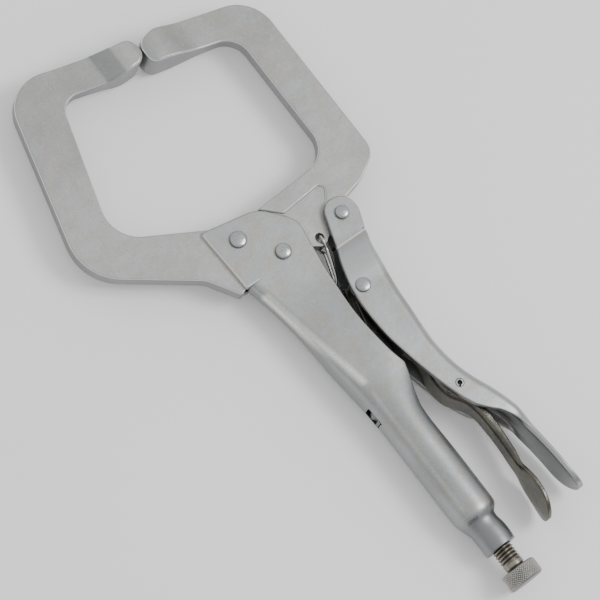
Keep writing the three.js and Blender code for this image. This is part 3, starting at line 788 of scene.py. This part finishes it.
LEVER_BACK = through([
    (9, 34.2), (12, 33.7), (17, 32), (26, 30.2), (37, 28.6), (47, 27.9), (63, 26.9), (75, 28.1), (84, 30.8),
    (93, 34.7), (103, 37.9), (114, 39.8), (124, 40.4), (137, 40.9), (144.4, 41.2),
])
LEVER_HALF_AT = through([
    (11, LEVER_BOSS_HALF), (15, 7.3), (20, 8.6), (25, 9.4), (29, LEVER_HALF), (96, LEVER_HALF), (112, 8.8),
    (130, 8.6),
])
LEVER_CORNER = through([(12, 2.8), (20, 4), (96, 4), (108, 3.4), (116, 2.2)])
LEVER_EDGE = through([
    (9, 19.35), (12, 18.2), (17.3, 15.6), (24.9, 12.9), (30, 11.8), (36.6, 11.1), (50.9, 11.6), (63, 13.7),
    (72.5, 15.9), (83.1, 18.9), (92.9, 22.9), (98.4, 27.3), (101.8, 30.7), (107.7, 34.2), (113, 36.2),
    (120, 37.6), (130, 38.6), (146, 39.2),
])
TAIL_START_X = 131.0
TAIL_END_X = 144.2


def lever_path(x):
    """The outside of the lever: a channel open towards the handle, flattening into a crowned tail."""
    past = max(0.0, (x - TAIL_START_X) / (TAIL_END_X - TAIL_START_X))
    half = LEVER_HALF_AT(x) * math.sqrt(max(0.02, 1 - past ** 2.2))
    back = LEVER_BACK(x)
    edge = LEVER_EDGE(x)
    corner = min(LEVER_CORNER(x), (back - edge) * 0.8, half * 0.9)
    folded = channel(edge, back, half, corner)
    crown = (back - edge) * (half / LEVER_HALF_AT(x)) ** 2
    bowed = [Vector((back - crown * t * t, half * t)) for t in np.linspace(-1, 1, 60)]
    return mixed(folded, bowed, smoothstep(103, 116, x), 56)


def lever_handle():
    bend = np.arange(math.pi / 40, math.pi / 2 + 0.01, math.pi / 40)
    tail = TAIL_START_X + (TAIL_END_X - TAIL_START_X) * np.sin(bend)
    places = np.concatenate([np.arange(9, 21, 0.6), np.arange(21, 94, 2), np.arange(94, 120, 0.9),
                             np.arange(120, TAIL_START_X, 1.8), [TAIL_START_X], tail])
    sheet = rings_form(section_rings(places, lever_path, lambda x: LEVER_SHEET, 0.6))
    bore_through = rounded_plate(outline(circle_corners(RELEASE_PIVOT, 1.84)), -12, 12, edge=0.1)
    form = carved(sheet, [bore_through])
    boss = outline([
        (-6.5, 36.5, 6.9), (-6.5, 24.6, 5.9), (10.2, 18.9, 0.4), (10.2, 33.6, 0.4), (3, 36.5, 3),
    ])
    for side in (1, -1):
        low, high = sorted((side * (LEVER_BOSS_HALF - LEVER_SHEET), side * (LEVER_BOSS_HALF - 0.015)))
        form.join(rounded_plate(boss, low, high))
    return form


# ---- Toggle link and release lever ----

LINK_END = Vector((93.5, -0.84))


def toggle_link():
    along = LINK_END - Vector(LINK_PIVOT)
    length = along.length
    bar = rounded_plate(outline([
        (-3.6, -3.9, 3.4), (9, -3.6, 20), (length + 2.7, -2.7, 2.6), (length + 2.7, 2.7, 2.6),
        (9, 3.6, 20), (-3.6, 3.9, 3.4),
    ]), -3, 3, edge=0.7)
    turn = Matrix.Translation((*LINK_PIVOT, 0)) @ Matrix.Rotation(math.atan2(along.y, along.x), 4, "Z")
    hub = rounded_plate(outline(circle_corners(LINK_PIVOT, 4.9)), -6.9, 6.9, edge=0.6)
    return moved(bar, turn).join(hub)


RELEASE_BACK = through([
    (60, 15.6), (65, 17.8), (70, 18.2), (75, 16.7), (81, 16.6), (86, 18.0), (91, 21.4), (96, 23.4),
    (103, 24.0), (112, 24.0), (122, 23.3), (132, 22.9), (140, 22.0), (146.6, 20.6),
])
RELEASE_MOUTH = through([
    (60, 18.4), (66, 21.2), (72, 23.4), (80, 25.4), (88, 26.4), (96, 27.4), (106, 27.6), (116, 26.8),
    (126, 25.6), (134, 24.9), (147, 22.4),
])
RELEASE_HALF = through([
    (60, 4), (65, 4.6), (70, 6.8), (89, 6.8), (96, 5.1), (118, 5), (124, 5.8), (131, 8.6), (135, 9),
])
PADDLE_ROUND_X = 136.0
PADDLE_END_X = 147.0


def release_path(x):
    """The outside of the release lever: a channel open towards the lever that ends in a flat paddle."""
    past = max(0.0, (x - PADDLE_ROUND_X) / (PADDLE_END_X - PADDLE_ROUND_X))
    half = RELEASE_HALF(x) * math.sqrt(max(0.02, 1 - past ** 2.2))
    folded = channel(RELEASE_MOUTH(x), RELEASE_BACK(x), half, min(1.9, half * 0.6))
    hollow = 0.7 * (half / RELEASE_HALF(x)) ** 2
    bowed = [Vector((RELEASE_BACK(x) + hollow * t * t, half * t)) for t in np.linspace(1, -1, 60)]
    return mixed(folded, bowed, smoothstep(118, 129, x), 44)


def release_lever():
    bend = np.arange(math.pi / 36, math.pi / 2 + 0.01, math.pi / 36)
    end = PADDLE_ROUND_X + (PADDLE_END_X - PADDLE_ROUND_X) * np.sin(bend)
    places = np.concatenate([np.arange(60, 100, 1), np.arange(100, 118, 2),
                             np.arange(118, PADDLE_ROUND_X, 1), [PADDLE_ROUND_X], end])
    form = rings_form(section_rings(places, release_path, lambda x: RELEASE_SHEET, 0.5))
    for side in (1, -1):
        nub = lathe([(0, 6.2), (1.45, 6.2), (1.45, 7.0), (1.2, 7.25), (0.7, 7.35), (0, 7.36)], 32)
        turn = Matrix.Translation((RELEASE_PIVOT[0], 19.4, 0)) @ Matrix.Diagonal((1, 1, side, 1))
        form.join(moved(nub, turn))
    return form


# ---- Rivets, pin, screw, knob, spring ----

def rivet(at, shank, head, cheek, height):
    """A rivet: a shank with a low domed head over each cheek, a little flat on top."""
    seat = cheek + 0.12
    dome = [(shank, seat), (head - 0.15, seat), (head, seat + 0.12), (head, seat + height * 0.34)]
    for t in np.linspace(0, 1, 10):
        angle = t * math.pi / 2
        dome.append((head * math.cos(angle) ** 0.75, seat + height * (0.34 + 0.66 * math.sin(angle) ** 0.9)))
    profile = [(0, -dome[-1][1])] + [(r, -z) for r, z in dome[-2::-1]] + dome
    profile[-1] = (0, dome[-1][1])
    return moved(lathe(profile), Matrix.Translation((*at, 0)))


def release_pin():
    """A split spring pin: a rolled tube with a slot along it and eased ends."""
    reach = LEVER_HALF + 0.12
    rings = []
    for z, ease in ((-reach, 0.2), (-reach + 0.2, 0), (reach - 0.2, 0), (reach, 0.2)):
        outer = arc_points((0, 0), 1.7 - ease, 0.3, 2 * math.pi - 0.3, 40)
        inner = arc_points((0, 0), 0.95 + ease * 0.5, 2 * math.pi - 0.42, 0.42, 40)
        rings.append([(p.x, p.y, z) for p in outer + inner])
    turn = Matrix.Translation((*RELEASE_PIVOT, 0)) @ Matrix.Rotation(-0.6, 4, "Z")
    return moved(rings_form(rings), turn)


def about_screw(form):
    """Turns a body made about +Z so that it lies along the screw's axis."""
    return moved(form, Matrix.Translation((0, SCREW_Y, 0)) @ Matrix.Rotation(math.pi / 2, 4, "Y"))


def adjusting_screw():
    """The screw with a true right-hand helical thread and a plain collar before the knob."""
    pitch, depth, sides = 1.5, 0.62, 72
    thread_end = KNOB_X - 2.9
    rings = []
    for x in np.arange(SCREW_TIP_X, thread_end + 1.6, 0.15):
        fade = smoothstep(SCREW_TIP_X, SCREW_TIP_X + 2.4, x)
        run_out = smoothstep(thread_end - 0.6, thread_end + 0.6, x)
        crest = 2.2 + (SCREW_RADIUS - 2.2) * fade
        ring = []
        for angle in np.linspace(0, 2 * math.pi, sides, endpoint=False):
            phase = (x / pitch - angle / (2 * math.pi)) % 1
            tooth = min(max(abs(phase - 0.5) * 2.3 - 0.1, 0.0), 1.0)
            radius = (crest - depth * tooth) * (1 - run_out) + (SCREW_RADIUS - 0.2) * run_out
            ring.append((radius * math.cos(angle), radius * math.sin(angle), x))
        rings.append(ring)
    last = rings[-1]
    collar = SCREW_RADIUS - 0.2
    for x, radius in ((KNOB_X - 1.0, collar), (KNOB_X - 0.5, collar - 0.35), (KNOB_X - 0.13, collar - 0.35)):
        rings.append([(p[0] * radius / collar, p[1] * radius / collar, x) for p in last])
    return about_screw(rings_form(rings))


def screw_knob():
    """The knob with a diamond knurl between chamfered rims and a slightly domed end."""
    radius = KNOB_RADIUS
    sides, starts, depth = 396, 44, 0.5
    angles = np.linspace(0, 2 * math.pi, sides, endpoint=False)

    def ring(r, x):
        return [(r * math.cos(a), r * math.sin(a), x) for a in angles]

    rings = [ring(3.2, KNOB_X), ring(radius - 1.0, KNOB_X), ring(radius - 0.62, KNOB_X + 0.14)]
    low, high = KNOB_X + 0.55, KNOB_END_X - 0.75
    for x in np.linspace(low, high, 46):
        turn = (x - low) / (2 * math.pi * radius / starts)
        fade = min(1, (x - low) / 0.25, (high - x) / 0.25)
        row = []
        for a in angles:
            u = (a * starts / (2 * math.pi) + turn) % 1
            v = (a * starts / (2 * math.pi) - turn) % 1
            groove = max(abs(u - 0.5), abs(v - 0.5)) * 2
            cut = depth * groove ** 2.2 * fade + 0.22 * (1 - fade)
            row.append(((radius - cut) * math.cos(a), (radius - cut) * math.sin(a), x))
        rings.append(row)
    rings += [ring(radius - 0.62, KNOB_END_X - 0.34), ring(radius - 1.15, KNOB_END_X - 0.08),
              ring(radius * 0.6, KNOB_END_X), ring(1.0, KNOB_END_X)]
    return about_screw(rings_form(rings))


def jaw_spring():
    """The tension spring's round wire: hook, slim neck, coils and the far hook on the handle's tab."""
    wire = 0.66
    start = Vector((*SPRING_HOLE, 0))
    end = Vector((SLOT_END_X - 3.5, HANDLE_BACK(SLOT_END_X) + 3.8, 0))
    axis = (end - start).normalized()
    across = Vector((-axis.y, axis.x, 0))
    up = Vector((0, 0, 1))

    def place(s, y, z):
        return start + axis * s + across * y + up * z

    first, last, pitch, per_turn = 20.5, 71.5, 1.38, 20
    coil = through([(first, 0.75), (first + 3, 2.45), (last - 3, 2.45), (last, 1.2)])
    points = [place(18.5, 0.1, 1.2), place(12, 0.1, 1.8), place(7.4, 0.1, 1.8), place(5.8, 0, 0),
              place(4.6, 0, -3.0), place(3, 0, -3.9), place(0.4, 0, -3.9), place(-0.6, 0, -2.2),
              place(-0.6, 0.2, 2.2), place(0.4, 0.4, 3.8), place(2.6, 0.8, 3.7), place(4.4, 1.3, 2.4),
              place(6.0, 1.45, 1.8), place(12, 1.45, 1.8), place(18.5, 1.2, 1.0)]
    count = round((last - first) / pitch * per_turn)
    for i in range(count + 1):
        turn = i / per_turn * 2 * math.pi
        s = first + (last - first) * i / count
        points.append(place(s, coil(s) * math.sin(turn), coil(s) * math.cos(turn)))
    points += [place(last + 2, 0.6, 0.6), place(last + 3.4, 1.2, 0)]
    return swept(eased(points), wire)


def eased(points, passes=2):
    """The same path with its wide-set corners rounded off by Chaikin's rule at its two ends."""
    path = points
    for _ in range(passes):
        longer = [path[0]]
        for a, b in zip(path, path[1:]):
            if (b - a).length > 1.2:
                longer += [a.lerp(b, 0.25), a.lerp(b, 0.75)]
            else:
                longer.append(b)
        path = longer + [path[-1]] if (path[-1] - longer[-1]).length > 0.01 else longer
    return path


def swept(path, radius, sides=12):
    """A round wire along a path, its section carried along without twist."""
    rings = []
    side = Vector((1, 0, 0))
    for i, point in enumerate(path):
        along = (path[min(i + 1, len(path) - 1)] - path[max(i - 1, 0)]).normalized()
        side = (side - along * side.dot(along)).normalized()
        other = along.cross(side)
        rings.append([point + (side * math.cos(a) + other * math.sin(a)) * radius
                      for a in np.linspace(0, 2 * math.pi, sides, endpoint=False)])
    return rings_form(rings)


# ---- Pieces on their bodies ----

TIP_SLICES = (-36, 34, 1.5)
build("fixed_jaw", fixed_jaw(), "frame", "fixed_jaw", WORN, slices=TIP_SLICES)
build("movable_jaw", movable_jaw(), "jaw", "movable_jaw", FORGED, slices=TIP_SLICES)
build("fixed_handle", fixed_handle(), "frame", "fixed_handle", HANDLE_ZINC)
build("spring_tab", spring_tab(), "frame", None, RIVET)
build("lever_handle", lever_handle(), "lever", "lever_handle", PRESSED)
build("toggle_link", toggle_link(), "link", "toggle_link", DARK_STEEL_WITH_PAINTED_SHADE)
build("release_lever", release_lever(), "release", "release_lever", DARK_STEEL_WITH_PAINTED_SHADE)
CHEEK = CHEEK_INNER + SHEET
# Name, body, place, shank radius, head radius, height of the seat, height of the dome.
RIVETS = (
    ("fixed_jaw_rivet", "frame", JAW_RIVET, 2.4, 3.55, CHEEK, 1.7),
    ("main_pivot_rivet", "frame", MAIN, 2.3, 3.35, CHEEK, 1.9),
    ("lever_pivot_rivet", "lever", LEVER_PIVOT, 2.1, 2.95, LEVER_BOSS_HALF, 1.6),
    ("link_pivot_rivet", "lever", LINK_PIVOT, 2.3, 3.1, LEVER_HALF, 1.4),
)
for rivet_name, body, at, shank, head, cheek, height in RIVETS:
    build(rivet_name, rivet(at, shank, head, cheek, height), body, rivet_name, RIVET)
build("release_pin", release_pin(), "lever", "release_pin", RIVET)
build("adjusting_screw", adjusting_screw(), "screw", "adjusting_screw", THREAD,
      weighted=False)
build("screw_knob", screw_knob(), "knob", "screw_knob", KNURL, weighted=False)
spring = build("jaw_spring", jaw_spring(), None, "jaw_spring", WIRE, weighted=False)
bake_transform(spring)


# ---- Studio ----

def floor():
    """A wide pale table top just under the pliers, slightly uneven like a matt board."""
    mesh = bpy.data.meshes.new("table_top")
    work = bmesh.new()
    bmesh.ops.create_grid(work, x_segments=8, y_segments=8, size=2.5)
    work.to_mesh(mesh)
    work.free()
    top = bpy.data.objects.new("table_top", mesh)
    top.location = (0, 0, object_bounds()[0][2] - 0.0002)
    bpy.context.scene.collection.objects.link(top)
    finish = Finish("matt_board")
    finish.shader.inputs["Metallic"].default_value = 0.0
    finish.shader.inputs["Roughness"].default_value = 0.9
    finish.shader.inputs["Specular IOR Level"].default_value = 0.1
    shade = finish.remap(finish.noise(6, 3), 0.3, 0.7, 0, 1)
    finish.connect(finish.blend(shade, (0.93, 0.93, 0.93), (0.95, 0.95, 0.95)), "Base Color")
    finish.shader.inputs["Emission Color"].default_value = (1, 1, 1, 1)
    finish.shader.inputs["Emission Strength"].default_value = 0.1
    mesh.materials.append(finish.material)


def soft_light(name, place, target, size, power):
    """A square area light that faces a target."""
    data = bpy.data.lights.new(name, "AREA")
    data.size = size
    data.energy = power
    lamp = bpy.data.objects.new(name, data)
    lamp.location = place
    lamp.rotation_euler = (Vector(target) - Vector(place)).to_track_quat("-Z", "Y").to_euler()
    bpy.context.scene.collection.objects.link(lamp)


def camera():
    """A long lens well above the pliers, turned so that they run up across the frame."""
    target = PIVOT + Vector((18.86, -4.89, 0)) / 1000
    towards = Vector((0.1403, -0.3330, 0.9324)).normalized()
    up = Vector((-0.7842, 0.5376, 0.3100))
    right = up.cross(towards).normalized()
    up = towards.cross(right)
    data = bpy.data.cameras.new("camera")
    data.lens = 303.6
    data.sensor_width = 36
    seen = bpy.data.objects.new("camera", data)
    basis = Matrix((right, up, towards)).transposed().to_4x4()
    seen.matrix_world = Matrix.Translation(target + towards * 2.0) @ basis
    bpy.context.scene.collection.objects.link(seen)
    bpy.context.scene.camera = seen


def studio_sky():
    """A soft white room, brightest overhead on the side of the jaws and dimmest below."""
    world = bpy.data.worlds.new("studio")
    world.use_nodes = True
    nodes, links = world.node_tree.nodes, world.node_tree.links
    direction = nodes.new("ShaderNodeTexCoord").outputs["Generated"]
    lobe = nodes.new("ShaderNodeVectorMath")
    lobe.operation = "DOT_PRODUCT"
    lobe.inputs[1].default_value = Vector((-0.45, 0.05, 0.88)).normalized()
    links.new(direction, lobe.inputs[0])
    bright = nodes.new("ShaderNodeMapRange")
    bright.interpolation_type = "SMOOTHSTEP"
    bright.inputs["From Min"].default_value = -0.6
    bright.inputs["From Max"].default_value = 0.9
    bright.inputs["To Min"].default_value = 0.30
    bright.inputs["To Max"].default_value = 0.98
    links.new(lobe.outputs["Value"], bright.inputs["Value"])
    nodes["Background"].inputs["Color"].default_value = (1, 1, 1, 1)
    links.new(bright.outputs["Result"], nodes["Background"].inputs["Strength"])
    bpy.context.scene.world = world


floor()
camera()
studio_sky()
soft_light("key", (0.45, 0.7, 1.2), (0, 0, 0), 0.6, 10)
